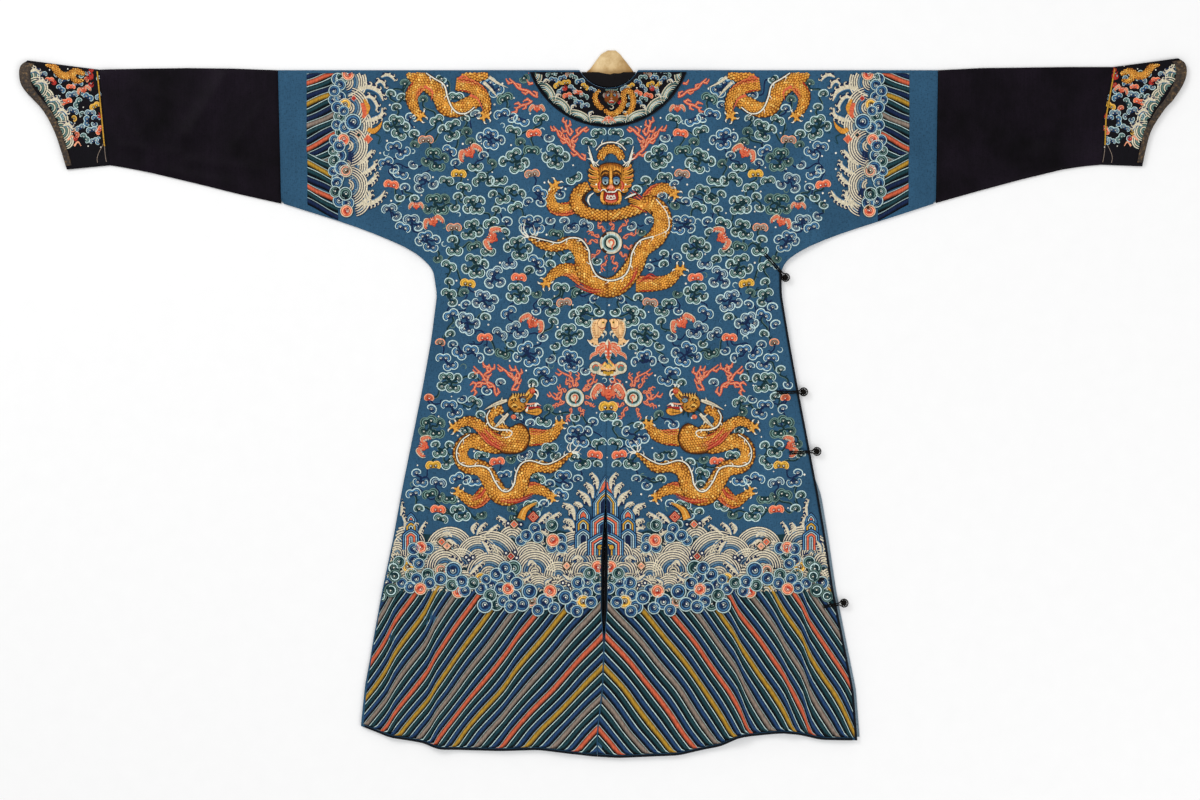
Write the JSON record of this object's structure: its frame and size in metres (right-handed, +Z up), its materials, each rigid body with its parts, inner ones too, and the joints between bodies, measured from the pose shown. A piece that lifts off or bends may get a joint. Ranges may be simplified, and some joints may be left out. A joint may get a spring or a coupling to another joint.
{
  "type": "chinese dragon robe",
  "caption": "Full-length dragon robe laid flat, back up, with horse-hoof cuffs, a round collar facing, a curved front overlap and a side closing with loops and knotted buttons.",
  "frame": {"origin": "middle of the bounding box in plan, on the surface that the robe lies on", "axes": "+X towards the wearer's right sleeve, +Y towards the collar, +Z up out of the surface"},
  "size_m": [2.1932, 1.3294, 0.0165],
  "materials": {
    "robe_silk": "embroidered silk, satin ground, soft sheen",
    "sleeve_silk": "dark ribbed silk",
    "cuff_silk": "embroidered black silk",
    "brocade": "gold thread brocade ribbon",
    "collar_silk": "embroidered black silk",
    "black_satin": "black satin",
    "cream_lining": "plain silk lining",
    "dark_binding": "dark silk binding",
    "dark_cord": "knotted silk cord"
  },
  "bodies": {
    "root": {"body_left": "robe_silk", "body_right": "robe_silk", "front_overlap": "robe_silk", "sleeve_left": "sleeve_silk", "sleeve_right": "sleeve_silk", "cuff_left": "cuff_silk", "cuff_right": "cuff_silk", "cuff_trim_left": "brocade", "cuff_trim_right": "brocade", "collar_facing": "collar_silk", "collar_piping": "black_satin", "neck_band": "black_satin", "neck_lining": "cream_lining", "hem_binding_left": "dark_binding", "hem_binding_right": "dark_binding", "side_binding_right": "dark_binding", "loop_1": "dark_cord", "button_1": "dark_cord", "loop_2": "dark_cord", "button_2": "dark_cord", "loop_3": "dark_cord", "button_3": "dark_cord", "loop_4": "dark_cord", "button_4": "dark_cord"}
  },
  "joints": []
}
